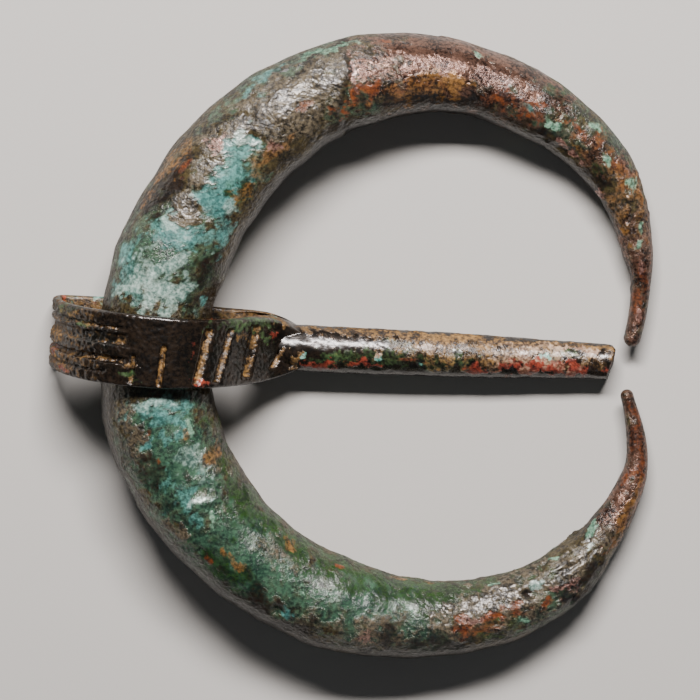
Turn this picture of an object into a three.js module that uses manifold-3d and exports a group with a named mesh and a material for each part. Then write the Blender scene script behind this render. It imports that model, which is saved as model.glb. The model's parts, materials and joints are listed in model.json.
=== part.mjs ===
// A penannular brooch: a heavy tapering bronze hoop, open on one side, and a pin whose
// looped head is threaded on the back of the hoop. The brooch lies at rest on its back.
// Millimetres. +X runs from the looped head towards the terminals, +Y across the hoop,
// +Z up from the surface that the brooch lies on.
import * as THREE from 'three';
import { mergeVertices } from 'three/addons/utils/BufferGeometryUtils.js';
import Module from 'manifold-3d';

const wasm = await Module();
wasm.setup();

// ---------------------------------------------------------------- hoop: its flat plan
const BACK_RADIUS = 21.95;           // centreline of the thick back
const UPPER_RADIUS = 17.1;           // centreline of the upper arm, past the top
const LOWER_RADIUS = 17.9;           // centreline of the lower arm, past the bottom
const LOWER_ARC_END = -22;           // degrees, where the lower terminal leaves its arc
const UPPER_BEND = [17.1, 2.9];      // control point of the upper terminal's slight bend
const UPPER_TIP = [16.3, 0.1];
const LOWER_BEND = [[17.35, -8.9], [16.85, -6.4]];   // and of the lower one's stronger bend
const LOWER_TIP = [15.95, -3.4];

// Each arm's thickness: [distance along it from the middle of the back, diameter].
const UPPER_TAPER = [[0, 8.6], [11, 8.75], [19, 8.2], [30, 7.1], [37, 5.9], [43, 5.3],
  [51, 4.15], [55, 3.15], [59, 2.35], [62, 1.55], [66.4, 1.3]];
const LOWER_TAPER = [[0, 8.6], [9, 8.85], [18, 7.9], [26, 7.5], [33, 6.45], [42, 5.3],
  [47, 4.45], [50, 3.3], [55.5, 2.15], [60, 1.45], [62, 1.05], [63.7, 1.0]];

// Bent by hand, it strays from true arcs: [distance from the middle of the back, outwards].
const UPPER_BOW = [[0, 0], [4, 0], [11, -0.2], [24, 0.22], [33, 0.15], [43, -0.27], [52, 0.2],
  [58, 0], [67, 0]];
const LOWER_BOW = [[0, 0], [6, 0.12], [18, -0.1], [33, -0.15], [45, 0.37], [51, 0.15],
  [57, 0], [64, 0]];
const HAMMERED = 0.012;              // unevenness of the bar, as a share of its radius
const HAMMER_WAVES = [[0.9, 0, 1], [0.53, 2, 1], [1.7, 1, 0.7]];   // [pace, phase, share]
const BLUNT_TIP = 0.02;              // least share of roundness left at the very tip

const HOOP_SIDES = 30;
const HOOP_STEP = 1.75;              // spacing of the sections on the thick back
const TIP_STEP = 0.12;               // and at the tips, from where it grows
const STEP_GROWTH = 0.55;

// ---------------------------------------------------------------- hoop: how it lies
const HOOP_TILT = 5.45;              // degrees, the back held up by the pin's head
const HOOP_Y = -0.195;               // centre of the hoop across the pin

// ---------------------------------------------------------------- pin head, a flat loop
// Seen along the hoop: x from the pivot (the hoop's centre in the loop), z from the floor.
const LOOP_LEFT = -8.45;
const LOOP_CROWN = [0.8, 11.25];     // highest point of the arched front wall
const LOOP_WALL = 0.73;              // thickness of the strip
const LOOP_CORNER = 1.0;             // radius where the front wall meets the flat back
const EYE_CORNER = 0.5;
const SHOULDER = [10.4, 3.4];        // where the arch comes down onto the shaft
const ROOT_END = [13.2, 2.9];        // end of the strip, buried in the shaft
const EYE_LEFT = LOOP_LEFT + LOOP_WALL;
const EYE_RIGHT = 9.2;
const EYE_FLOOR = LOOP_WALL;
const EYE_CROWN = LOOP_CROWN[1] - LOOP_WALL;
// How far the arch's curves pull: from its foot, right and left of its crown, up its left.
const OUTER_PULL = { foot: [-2.5, 1.0], right: 5.2, left: 5.0, up: 7.4 };
const INNER_PULL = { foot: [-1.6, 2.5], right: 4.8, left: 4.7, up: 6.95 };

const HEAD_WIDTH = 5.7;              // across, along the hoop
const HEAD_TURN = 4.3;               // degrees, the head's lean in plan
const HEAD_Y = 0.6;                  // middle of the head at the pivot
const HEAD_EDGE = 0.25;              // rounding of the strip's rims

// Half widths of the head, as shares of the full half width: [x, share].
const HEAD_PLAN = [[-8.45, 0.97], [-4, 1.0], [1, 0.99], [5, 0.95], [8.6, 0.92], [10.3, 0.77],
  [11.6, 0.55], [13.2, 0.28]];

// ---------------------------------------------------------------- pin shaft
const SHAFT_START = 9.9;             // from the pivot
const SHAFT_END = 37.25;             // the broken end, before its jagged cut
const SHAFT_TAPER = [[9.9, 3.7], [11.8, 3.76], [23.6, 3.56], [35.6, 2.9], [37.3, 2.8]];
const SHAFT_Y = -0.1;                // its middle where it leaves the head
const SHAFT_TURN = 2.7;              // degrees in plan
const SHAFT_SIDES = 24;
const SHAFT_STEP = 1.4;
// The old break, two torn faces: [short of the end, y, z, swing and nod in degrees].
const TEARS = [[0.1, 0.9, 2.4, 24, 14], [0.95, -1.4, 1.6, -18, -10]];
const TEAR_BLOCK = [4, 6, 6];        // size of the block that cuts each of them

// ---------------------------------------------------------------- cut ornament
// Grooves along the left part of the front wall: [from the upper rim, width, depth, end x].
const GROOVES = [[1.2, 0.42, 0.22, -1.8], [2.15, 1.05, 0.3, -1.2], [3.75, 0.55, 0.36, -1.6],
  [5.0, 0.3, 0.2, -2.6]];
const GROOVE_FADE = 3;               // points of the arch over which a groove runs out
const ARCH_HEART = 0.45;             // height, as a share of the crown's, that cuts aim at
// Notches across it: [x, from the upper rim, length, width, slant in degrees].
const NOTCHES = [[-1.3, 3.2, 2.3, 0.42, 3], [0.98, 2.3, 3.3, 0.46, 4], [4.15, 0.8, 4.4, 0.5, 9],
  [5.75, 0.8, 4.3, 0.46, 12], [7.85, 0.75, 4.1, 0.62, 8], [10.0, 2.4, 1.9, 0.42, 28]];
const NOTCH_DEPTH = 0.36;
const EYE_TICK = [-0.6, 3.15, 1.3, 0.22];   // short stroke beside the first notch

// Metals, as broad colours.
const PATINATED = { color: 0x4f5a45, roughness: 0.5, metalness: 0.35 };
const DARK_BRONZE = { color: 0x3b2c26, roughness: 0.38, metalness: 0.6 };

// ================================================================ helpers

// Smooth curve through [x, value] stations: cubic between them, slopes from neighbours.
function along(stations, x) {
  const last = stations.length - 1;
  const i = Math.max(0, Math.min(last - 1, stations.findIndex((s) => s[0] > x) - 1));
  const k = x >= stations[last][0] ? last - 1 : i;
  const slope = (j) => {
    const a = stations[Math.max(0, j - 1)];
    const b = stations[Math.min(last, j + 1)];
    return (b[1] - a[1]) / (b[0] - a[0]);
  };
  const [x0, y0] = stations[k];
  const [x1, y1] = stations[k + 1];
  const h = x1 - x0;
  const t = THREE.MathUtils.clamp((x - x0) / h, 0, 1);
  const t2 = t * t;
  const t3 = t2 * t;
  return (2 * t3 - 3 * t2 + 1) * y0 + (t3 - 2 * t2 + t) * h * slope(k)
    + (3 * t2 - 2 * t3) * y1 + (t3 - t2) * h * slope(k + 1);
}

// Closed skin over a row of rings with equal numbers of points, its two ends capped.
function skin(rings) {
  const sides = rings[0].length;
  const points = rings.flat();
  const faces = [];
  for (let r = 0; r + 1 < rings.length; r++) {
    for (let k = 0; k < sides; k++) {
      const a = r * sides + k;
      const b = r * sides + (k + 1) % sides;
      faces.push(a, b, b + sides, a, b + sides, a + sides);
    }
  }
  for (const end of [0, rings.length - 1]) {
    const middle = new THREE.Vector3();
    rings[end].forEach((p) => middle.addScaledVector(p, 1 / sides));
    points.push(middle);
    for (let k = 0; k < sides; k++) {
      const a = end * sides + k;
      const b = end * sides + (k + 1) % sides;
      faces.push(...(end === 0 ? [b, a, points.length - 1] : [a, b, points.length - 1]));
    }
  }
  const geometry = new THREE.BufferGeometry().setFromPoints(points);
  geometry.setIndex(faces);
  return geometry;
}

function toSolid(geometry) {
  const bare = geometry.clone();
  bare.deleteAttribute('normal');
  bare.deleteAttribute('uv');
  const merged = mergeVertices(bare, 1e-4);
  return new wasm.Manifold(new wasm.Mesh({
    numProp: 3,
    vertProperties: new Float32Array(merged.attributes.position.array),
    triVerts: new Uint32Array(merged.index.array),
  }));
}

function toGeometry(solid) {
  const mesh = solid.getMesh();
  const geometry = new THREE.BufferGeometry();
  geometry.setAttribute('position', new THREE.BufferAttribute(mesh.vertProperties, 3));
  geometry.setIndex(new THREE.BufferAttribute(mesh.triVerts, 1));
  return geometry;
}

// ================================================================ the hoop

// Its centreline, from the lower tip round the back to the upper tip.
function hoopPath() {
  const path = new THREE.CurvePath();
  const rad = THREE.MathUtils.degToRad;
  const lowerStart = new THREE.Vector2(LOWER_RADIUS * Math.cos(rad(LOWER_ARC_END)),
    LOWER_RADIUS - BACK_RADIUS + LOWER_RADIUS * Math.sin(rad(LOWER_ARC_END)));
  path.add(new THREE.CubicBezierCurve(
    new THREE.Vector2(...LOWER_TIP), new THREE.Vector2(...LOWER_BEND[1]),
    new THREE.Vector2(...LOWER_BEND[0]), lowerStart));
  path.add(new THREE.EllipseCurve(0, LOWER_RADIUS - BACK_RADIUS, LOWER_RADIUS, LOWER_RADIUS,
    rad(LOWER_ARC_END), rad(-90), true));
  path.add(new THREE.EllipseCurve(0, 0, BACK_RADIUS, BACK_RADIUS, rad(-90), rad(-270), true));
  path.add(new THREE.EllipseCurve(0, BACK_RADIUS - UPPER_RADIUS, UPPER_RADIUS, UPPER_RADIUS,
    rad(90), 0, true));
  path.add(new THREE.QuadraticBezierCurve(
    new THREE.Vector2(UPPER_RADIUS, BACK_RADIUS - UPPER_RADIUS),
    new THREE.Vector2(...UPPER_BEND), new THREE.Vector2(...UPPER_TIP)));
  return path;
}

// Radius of the bar at a distance s from the lower tip, with both tips rounded off.
function barRadius(s, length, toBack) {
  const taper = s < toBack ? LOWER_TAPER : UPPER_TAPER;
  const radius = along(taper, Math.abs(s - toBack)) / 2;
  const toEnd = Math.min(s, length - s);
  const round = Math.min(1, toEnd / radius);
  const wave = HAMMER_WAVES.reduce((sum, [pace, phase, share]) =>
    sum + share * Math.sin(s * pace + phase), 0);
  return radius * Math.sqrt(Math.max(BLUNT_TIP, round * (2 - round))) * (1 + HAMMERED * wave);
}

function hoop() {
  const path = hoopPath();
  const lengths = path.getCurveLengths();
  const length = lengths[lengths.length - 1];
  const toBack = lengths[1] + Math.PI * BACK_RADIUS / 2;
  const rings = [];
  let s = 0;
  while (s <= length) {
    const run = path.getTangentAt(s / length);
    const bow = along(s < toBack ? LOWER_BOW : UPPER_BOW, Math.abs(s - toBack));
    const middle = path.getPointAt(s / length).add(new THREE.Vector2(-run.y * bow, run.x * bow));
    const radius = barRadius(s, length, toBack);
    const ring = [];
    for (let k = 0; k < HOOP_SIDES; k++) {
      const turn = 2 * Math.PI * k / HOOP_SIDES;
      const out = radius * Math.cos(turn);
      ring.push(new THREE.Vector3(middle.x - run.y * out, middle.y + run.x * out,
        radius * Math.sin(turn)));
    }
    rings.push(ring);
    const toEnd = Math.min(s, length - s);
    const step = Math.min(HOOP_STEP, TIP_STEP + STEP_GROWTH * toEnd);
    s = s < length ? Math.min(length, s + step) : length + 1;
  }
  return skin(rings);
}

// ================================================================ the pin

function loopOutline() {
  const outline = new THREE.Shape();
  outline.moveTo(LOOP_LEFT + LOOP_CORNER, 0);
  HEAD_PLAN.slice(1).forEach(([x]) => outline.lineTo(x, 0));
  outline.lineTo(...ROOT_END);
  outline.lineTo((ROOT_END[0] + SHOULDER[0]) / 2, (ROOT_END[1] + SHOULDER[1]) / 2);
  outline.lineTo(...SHOULDER);
  outline.bezierCurveTo(SHOULDER[0] + OUTER_PULL.foot[0], SHOULDER[1] + OUTER_PULL.foot[1],
    LOOP_CROWN[0] + OUTER_PULL.right, LOOP_CROWN[1], ...LOOP_CROWN);
  outline.bezierCurveTo(LOOP_CROWN[0] - OUTER_PULL.left, LOOP_CROWN[1],
    LOOP_LEFT, OUTER_PULL.up, LOOP_LEFT, LOOP_CORNER);
  outline.absarc(LOOP_LEFT + LOOP_CORNER, LOOP_CORNER, LOOP_CORNER, Math.PI, 1.5 * Math.PI,
    false);
  return outline;
}

// The eye that the hoop runs through.
function eyeOutline() {
  const eye = new THREE.Path();
  eye.moveTo(EYE_LEFT + EYE_CORNER, EYE_FLOOR);
  HEAD_PLAN.slice(1, 4).forEach(([x]) => eye.lineTo(x, EYE_FLOOR));
  eye.lineTo(EYE_RIGHT, EYE_FLOOR);
  eye.bezierCurveTo(EYE_RIGHT + INNER_PULL.foot[0], EYE_FLOOR + INNER_PULL.foot[1],
    LOOP_CROWN[0] + INNER_PULL.right, EYE_CROWN, LOOP_CROWN[0], EYE_CROWN);
  eye.bezierCurveTo(LOOP_CROWN[0] - INNER_PULL.left, EYE_CROWN,
    EYE_LEFT, INNER_PULL.up, EYE_LEFT, EYE_FLOOR + EYE_CORNER);
  eye.absarc(EYE_LEFT + EYE_CORNER, EYE_FLOOR + EYE_CORNER, EYE_CORNER,
    Math.PI, 1.5 * Math.PI, false);
  return eye;
}

// Lays a solid drawn in x and z, and thick in y, into the head: narrows it to the plan.
function toHead(geometry) {
  const place = geometry.attributes.position;
  for (let i = 0; i < place.count; i++) {
    const x = place.getX(i);
    const z = place.getY(i);
    const y = -place.getZ(i) * along(HEAD_PLAN, x);
    place.setXYZ(i, x, y, z);
  }
  return geometry;
}

function head() {
  const outline = loopOutline();
  outline.holes.push(eyeOutline());
  const geometry = new THREE.ExtrudeGeometry(outline, {
    depth: HEAD_WIDTH - 2 * HEAD_EDGE,
    curveSegments: 22,
    bevelThickness: HEAD_EDGE,
    bevelSize: HEAD_EDGE,
    bevelOffset: -HEAD_EDGE,
    bevelSegments: 2,
  });
  geometry.translate(0, 0, HEAD_EDGE - HEAD_WIDTH / 2);
  return toSolid(toHead(geometry));
}

// A point of the front wall's outer face, and the slope of the wall there.
function frontWall(x) {
  const outline = loopOutline().getPoints(60);
  const top = outline.filter((p) => p.y > SHOULDER[1] - 0.6);
  let best = 1;
  for (let i = 1; i < top.length; i++) {
    if (Math.abs(top[i].x - x) < Math.abs(top[best].x - x)) best = i;
  }
  const before = top[best - 1];
  const after = top[Math.min(top.length - 1, best + 1)];
  return { z: top[best].y, slope: Math.atan2(before.y - after.y, before.x - after.x) };
}

// A long groove: the skin of the arch between its left end and endX, cut to a depth.
function groove([fromRim, width, depth, endX]) {
  const outer = loopOutline().getPoints(26);
  const band = outer.filter((p) => p.x < endX && p.y > LOOP_CORNER * 0.8);
  const centre = new THREE.Vector2(LOOP_CROWN[0], LOOP_CROWN[1] * ARCH_HEART);
  const inset = band.map((p, i) => {
    const fade = Math.min(1, i / GROOVE_FADE);       // runs out towards the crown
    return p.clone().add(centre.clone().sub(p).setLength(depth * fade));
  });
  const lifted = band.map((p) => p.clone().add(p.clone().sub(centre).setLength(1)));
  const shape = new THREE.Shape([...lifted, ...inset.reverse()]);
  const geometry = new THREE.ExtrudeGeometry(shape, { depth: width, bevelEnabled: false });
  const y = HEAD_WIDTH / 2 - fromRim;
  geometry.translate(0, 0, -y - width / 2);
  return toSolid(toHead(geometry));
}

// A notch across the wall, cut square to its face.
function notch([x, fromRim, length, width, slant]) {
  const wall = frontWall(x);
  const cutter = new THREE.BoxGeometry(width, length, NOTCH_DEPTH * 2);
  cutter.rotateZ(THREE.MathUtils.degToRad(-slant));
  cutter.rotateY(-wall.slope);
  cutter.translate(x, HEAD_WIDTH / 2 - fromRim - length / 2, wall.z);
  return toSolid(cutter);
}

function tick([x, fromRim, length, width]) {
  const wall = frontWall(x);
  const cutter = new THREE.BoxGeometry(length, width, NOTCH_DEPTH);
  cutter.rotateY(-wall.slope);
  cutter.translate(x, HEAD_WIDTH / 2 - fromRim, wall.z);
  return toSolid(cutter);
}

// The shaft lies on the floor along its whole underside.
function shaft() {
  const rings = [];
  const steps = Math.round((SHAFT_END - SHAFT_START) / SHAFT_STEP);
  const lean = Math.tan(THREE.MathUtils.degToRad(SHAFT_TURN));
  for (let i = 0; i <= steps; i++) {
    const x = THREE.MathUtils.lerp(SHAFT_START, SHAFT_END, i / steps);
    const radius = along(SHAFT_TAPER, x) / 2;
    const ring = [];
    for (let k = 0; k < SHAFT_SIDES; k++) {
      const turn = 2 * Math.PI * k / SHAFT_SIDES;
      ring.push(new THREE.Vector3(x,
        SHAFT_Y - (x - SHAFT_START) * lean + radius * Math.cos(turn),
        radius + radius * Math.sin(turn)));
    }
    rings.push(ring);
  }
  return toSolid(skin(rings));
}

// The old break: the far corner stands longest, the near side is torn back.
function tear([fromEnd, y, z, swing, nod]) {
  const cutter = new THREE.BoxGeometry(...TEAR_BLOCK);
  cutter.translate(TEAR_BLOCK[0] / 2, 0, 0);
  cutter.rotateY(THREE.MathUtils.degToRad(nod));
  cutter.rotateZ(THREE.MathUtils.degToRad(swing));
  const endY = SHAFT_Y - (SHAFT_END - SHAFT_START) * Math.tan(THREE.MathUtils.degToRad(SHAFT_TURN));
  cutter.translate(SHAFT_END - fromEnd, endY + y, z);
  return toSolid(cutter);
}

function pin() {
  let loop = head();
  GROOVES.forEach((g) => { loop = loop.subtract(groove(g)); });
  NOTCHES.forEach((n) => { loop = loop.subtract(notch(n)); });
  loop = loop.subtract(tick(EYE_TICK));
  const laid = toGeometry(loop);
  laid.rotateZ(THREE.MathUtils.degToRad(-HEAD_TURN));
  laid.translate(0, HEAD_Y, 0);
  const whole = TEARS.reduce((solid, t) => solid.subtract(tear(t)), toSolid(laid).add(shaft()));
  return toGeometry(whole);
}

// ================================================================ assembly

const hoopMesh = new THREE.Mesh(hoop(), new THREE.MeshStandardMaterial(PATINATED));
hoopMesh.name = 'hoop';
hoopMesh.geometry.rotateY(THREE.MathUtils.degToRad(HOOP_TILT));
hoopMesh.geometry.computeBoundingBox();
const hoopRise = -hoopMesh.geometry.boundingBox.min.z;
hoopMesh.position.set(0, HOOP_Y, hoopRise);

const pivotX = -BACK_RADIUS * Math.cos(THREE.MathUtils.degToRad(HOOP_TILT));
const pinMesh = new THREE.Mesh(pin(), new THREE.MeshStandardMaterial(DARK_BRONZE));
pinMesh.name = 'pin';
pinMesh.position.x = pivotX;

const brooch = new THREE.Group();
brooch.add(hoopMesh, pinMesh);

// The origin: the middle of the underside of the whole brooch.
const box = new THREE.Box3().setFromObject(brooch);
const middle = box.getCenter(new THREE.Vector3());
brooch.position.set(-middle.x, -middle.y, -box.min.z);

export default brooch;
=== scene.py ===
# %% [markdown]
# # A penannular brooch in bronze
# The brooch is two pieces: a heavy bar that tapers to two thin ends and is bent into an
# open ring, and a pin whose flattened head is folded round the ring. It has lain in the
# ground for centuries, so nearly all of its colour is corrosion, not paint: green and
# turquoise copper salts, brown and orange oxides, grey earth crust, and some bare metal.
# The frame brings the plain solids and the joint. Finer meshes are made in their places
# first, and then the finishes.

# %% Load the frame
import json
import math
from functools import partial

import bmesh
import bpy
import numpy as np
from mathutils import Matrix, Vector, noise


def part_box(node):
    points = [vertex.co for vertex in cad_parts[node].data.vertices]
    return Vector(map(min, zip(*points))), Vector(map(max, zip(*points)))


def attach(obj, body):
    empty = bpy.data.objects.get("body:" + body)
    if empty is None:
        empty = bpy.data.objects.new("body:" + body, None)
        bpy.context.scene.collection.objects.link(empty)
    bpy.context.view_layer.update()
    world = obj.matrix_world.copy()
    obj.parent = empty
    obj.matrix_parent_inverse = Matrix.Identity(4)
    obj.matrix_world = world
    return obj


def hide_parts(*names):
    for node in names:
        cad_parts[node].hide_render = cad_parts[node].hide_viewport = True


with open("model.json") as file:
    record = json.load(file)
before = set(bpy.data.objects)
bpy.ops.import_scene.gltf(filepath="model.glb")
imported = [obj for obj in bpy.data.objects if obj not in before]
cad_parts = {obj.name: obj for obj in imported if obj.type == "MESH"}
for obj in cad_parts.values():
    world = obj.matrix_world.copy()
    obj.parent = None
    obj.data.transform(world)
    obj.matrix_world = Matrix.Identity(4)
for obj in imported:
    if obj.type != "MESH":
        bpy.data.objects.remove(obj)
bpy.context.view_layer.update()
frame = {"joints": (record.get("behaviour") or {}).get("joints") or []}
MM = 0.001

# %% [markdown]
# ## Small helpers
# Colours are written as everyday hex values and turned to the linear numbers that the
# shader wants. One function adds any shader node with its settings and links. Vertices
# are handled as rows of numbers, all at once.

# %% Helpers


def colour(hex_value):
    """sRGB hex to linear RGBA."""
    channels = [int(hex_value[i:i + 2], 16) / 255 for i in (1, 3, 5)]
    linear = [c / 12.92 if c <= 0.04045 else ((c + 0.055) / 1.055) ** 2.4 for c in channels]
    return (*linear, 1.0)


def add(tree, kind, links=(), out=0, **settings):
    """Adds a shader node with its settings and links, and gives one of its outputs.

    links are values or other nodes' outputs, in the order of the sockets or by their names.
    """
    node = tree.nodes.new("ShaderNode" + kind)
    for key, value in settings.items():
        setattr(node, key, value)
    pairs = links.items() if isinstance(links, dict) else enumerate(links)
    for socket, source in pairs:
        if isinstance(source, bpy.types.NodeSocket):
            tree.links.new(source, node.inputs[socket])
        else:
            node.inputs[socket].default_value = source
    return node.outputs[out]


def smooth(edge_low, edge_high, value):
    """0 below the first edge, 1 above the second, eased between."""
    t = np.clip((value - edge_low) / (edge_high - edge_low), 0.0, 1.0)
    return t * t * (3 - 2 * t)


FALL, FINER = 0.6, 2.1                    # each octave of noise: weaker and finer by so much


def noise_at(points, scale, seed, octaves):
    """Cloudy noise, about -1 to 1, at each point; scale is the size of its clouds in mm."""
    shift = Vector((17.3 * seed, -9.1 * seed, 5.7 * seed))
    return np.array([noise.fractal(Vector(point) / scale + shift, FALL, FINER, octaves)
                     for point in points])


def put(name, data):
    """Puts an object with these data into the scene."""
    obj = bpy.data.objects.new(name, data)
    bpy.context.scene.collection.objects.link(obj)
    return obj


def places(mesh):
    """Where a mesh's vertices are, as rows of x, y and z."""
    flat = np.empty(len(mesh.vertices) * 3)
    mesh.vertices.foreach_get("co", flat)
    return flat.reshape(-1, 3)


print("mid grey is", round(colour("#808080")[0], 3), "in linear light")

# %% [markdown]
# ## The camera
# A small object like this is shown from above through a long lens, which keeps its outline
# true; a short lens close by would swell the parts that stand up. The brooch lies on its
# back and the camera looks down on it, leaning a little towards its upper arm.

# %% Camera
VIEW_LEAN = math.radians(7.0)
VIEW_DISTANCE = 300 * MM
VIEW_WIDTH = 56 * MM
AIM = Vector((0.0, -0.16 * MM, 3.4 * MM))

camera_data = bpy.data.cameras.new("camera")
camera = put("camera", camera_data)
view_back = Vector((0, math.sin(VIEW_LEAN), math.cos(VIEW_LEAN)))
camera.location = AIM + view_back * VIEW_DISTANCE
camera.rotation_euler = (-VIEW_LEAN, 0, 0)
camera_data.lens = camera_data.sensor_width * VIEW_DISTANCE / VIEW_WIDTH
camera_data.clip_start = 0.01
bpy.context.scene.camera = camera
print("lens", round(camera_data.lens), "mm")

# %% [markdown]
# ## Lamps and floor
# Dark bronze shows its form by highlights. One large soft lamp past the upper arm gives each
# round bar a long gentle highlight, and a weak one opens the shadows. A small hard lamp
# would give sharp sparks on every grain instead.

# %% Lamps and floor


def lamp(name, place, size, power, tint):
    """A soft rectangular lamp, placed and sized in mm, turned to the brooch."""
    data = bpy.data.lights.new(name, "AREA")
    data.shape = "RECTANGLE"
    data.size = size[0] * MM
    data.size_y = size[1] * MM
    data.energy = power
    data.color = colour(tint)[:3]
    obj = put(name, data)
    obj.location = Vector(place) * MM
    obj.rotation_euler = (AIM - obj.location).to_track_quat("-Z", "Y").to_euler()


lamp("key", (5, 190, 230), (170, 46), 2.6, "#FFF9F8")
lamp("fill", (120, -200, 160), (150, 150), 0.03, "#EAF0FF")

world = bpy.data.worlds.new("studio")
world.use_nodes = True
backdrop = world.node_tree.nodes["Background"]
backdrop.inputs["Color"].default_value = colour("#E8EAEC")
backdrop.inputs["Strength"].default_value = 0.06
bpy.context.scene.world = world

FLOOR_SIZE = 1.2                          # in metres, past the edges of any view
floor_mesh = bmesh.new()
bmesh.ops.create_grid(floor_mesh, x_segments=1, y_segments=1, size=FLOOR_SIZE / 2)
floor_data = bpy.data.meshes.new("floor")
floor_mesh.to_mesh(floor_data)
floor_mesh.free()
floor = put("floor", floor_data)
# Plain uncoated paper: a pale even ground without a shine, so that only the bronze glints.
paper = bpy.data.materials.new("matt paper")
paper.use_nodes = True
paper_shader = paper.node_tree.nodes["Principled BSDF"]
paper_shader.inputs["Base Color"].default_value = colour("#B8B6B1")
paper_shader.inputs["Roughness"].default_value = 0.9
floor_data.materials.append(paper)
print("lamps and floor ready")

# %% [markdown]
# ## The bar before it is bent
# A smith makes the hoop as a straight bar, thick in the middle and drawn out thin at both
# ends, and then bends it. The same order works here: a flat grid is rolled into a tube
# along a centreline of arcs, and a taper gives its radius at each step. A bevelled curve
# would be quicker, but a grid keeps rows and columns at hand for the relief.

# %% The hoop's plan
BACK_RADIUS = 21.95
UPPER_RADIUS = 17.1
LOWER_RADIUS = 17.9
LOWER_ARC_END = math.radians(-22)
UPPER_BEND, UPPER_TIP = (17.1, 2.9), (16.3, 0.1)
LOWER_BEND, LOWER_TIP = [(16.85, -6.4), (17.35, -8.9)], (15.95, -3.4)
HOOP_TILT = math.radians(5.45)

# Distance from the middle of the back, and the bar's diameter there.
UPPER_TAPER = [(0, 8.6), (11, 8.75), (19, 8.2), (30, 7.1), (37, 5.9), (43, 5.3),
               (51, 4.15), (55, 3.15), (59, 2.35), (62, 1.55), (66.4, 1.3)]
LOWER_TAPER = [(0, 8.6), (9, 8.85), (18, 7.9), (26, 7.5), (33, 6.45), (42, 5.3),
               (47, 4.45), (50, 3.3), (55.5, 2.15), (60, 1.45), (62, 1.05), (63.7, 1.0)]
# Bent by hand, it strays from true arcs: distance from the back, and how far outwards.
UPPER_BOW = [(0, 0), (4, 0), (11, -0.2), (24, 0.22), (33, 0.15), (43, -0.27), (52, 0.2),
             (58, 0), (67, 0)]
LOWER_BOW = [(0, 0), (6, 0.12), (18, -0.1), (33, -0.15), (45, 0.37), (51, 0.15),
             (57, 0), (64, 0)]
HAMMERED = 0.012                          # waves left by the hammer, as a share of the radius
print("taper to", UPPER_TAPER[-1][1], "and", LOWER_TAPER[-1][1], "mm")

# %% [markdown]
# ## Curves
# Three kinds of line draw everything: a smooth curve through measured stations for tapers,
# Bezier curves for bends, and arcs for what was bent round a former.

# %% Curves


def through(stations, x):
    """A smooth cubic curve through the stations, read at each x."""
    xs, ys = np.array(stations, float).T
    slope = np.gradient(ys, xs)
    slope[1:-1] = (ys[2:] - ys[:-2]) / (xs[2:] - xs[:-2])
    x = np.clip(x, xs[0], xs[-1])
    i = np.clip(np.searchsorted(xs, x, side="right") - 1, 0, len(xs) - 2)
    h = xs[i + 1] - xs[i]
    t = (x - xs[i]) / h
    return ((2 * t**3 - 3 * t**2 + 1) * ys[i] + (t**3 - 2 * t**2 + t) * h * slope[i]
            + (3 * t**2 - 2 * t**3) * ys[i + 1] + (t**3 - t**2) * h * slope[i + 1])


def bezier(points, count):
    """A Bezier curve of any order as a row of points."""
    t = np.linspace(0, 1, count)[:, None]
    order = len(points) - 1
    return sum(math.comb(order, k) * (1 - t)**(order - k) * t**k * np.array(p, float)
               for k, p in enumerate(points))


def run_along(line):
    """Distance from the start at each point of a row of points."""
    return np.r_[0, np.cumsum(np.linalg.norm(np.diff(line, axis=0), axis=1))]


def arc(centre, radius, start, end, count):
    """A row of points on part of a circle, between two angles."""
    a = np.linspace(start, end, count)
    return np.c_[centre[0] + radius * np.cos(a), centre[1] + radius * np.sin(a)]


print("half way along a step of 1:", through([(0, 0), (1, 1)], 0.5).round(2))

# %% [markdown]
# ## Centreline and thickness of the bar
# The back is one wide arc and each arm a tighter one, as in a ring bent by hand in three
# goes. The bar's thickness is read from its taper at every step.

# %% Centreline and thickness


def hoop_line():
    """The centreline from the lower tip round the back to the upper tip."""
    low_y, up_y = LOWER_RADIUS - BACK_RADIUS, BACK_RADIUS - UPPER_RADIUS
    lower = arc((0, low_y), LOWER_RADIUS, LOWER_ARC_END, -math.pi / 2, 600)
    parts = [bezier([LOWER_TIP, *LOWER_BEND, lower[0]], 200), lower,
             arc((0, 0), BACK_RADIUS, -math.pi / 2, -1.5 * math.pi, 1500),
             arc((0, up_y), UPPER_RADIUS, math.pi / 2, 0, 600),
             bezier([(UPPER_RADIUS, up_y), UPPER_BEND, UPPER_TIP], 200)]
    line = np.vstack([parts[0]] + [p[1:] for p in parts[1:]])
    run = run_along(line)
    back = run[np.argmin(line[:, 0])]
    return line, run, back


LINE, RUN, BACK = hoop_line()
LENGTH = RUN[-1]


def bar_radius(s):
    """Radius of the bar at a distance s from the lower tip, both tips rounded."""
    d = s - BACK
    radius = np.where(d < 0, through(LOWER_TAPER, -d), through(UPPER_TAPER, d)) / 2
    near_tip = np.clip(np.minimum(s, LENGTH - s) / radius, 0, 1)
    wave = np.sin(s * 0.9) + np.sin(s * 0.53 + 2) + 0.7 * np.sin(s * 1.7 + 1)
    return radius * np.sqrt(near_tip * (2 - near_tip)) * (1 + HAMMERED * wave)


def on_line(s):
    """The point of the centreline at a distance s."""
    return np.c_[np.interp(s, RUN, LINE[:, 0]), np.interp(s, RUN, LINE[:, 1])]


def place_on_line(s):
    """Centre and outward direction at a distance s, in the hoop's own plane."""
    step = 0.15
    way = on_line(s + step) - on_line(s - step)
    way /= np.linalg.norm(way, axis=1)[:, None]
    outward = np.c_[-way[:, 1], way[:, 0]]
    d = s - BACK
    bow = np.where(d < 0, through(LOWER_BOW, -d), through(UPPER_BOW, d))
    return on_line(s) + outward * bow[:, None], outward


print("bar length", round(LENGTH, 1), "mm, back at", round(BACK, 1))

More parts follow.
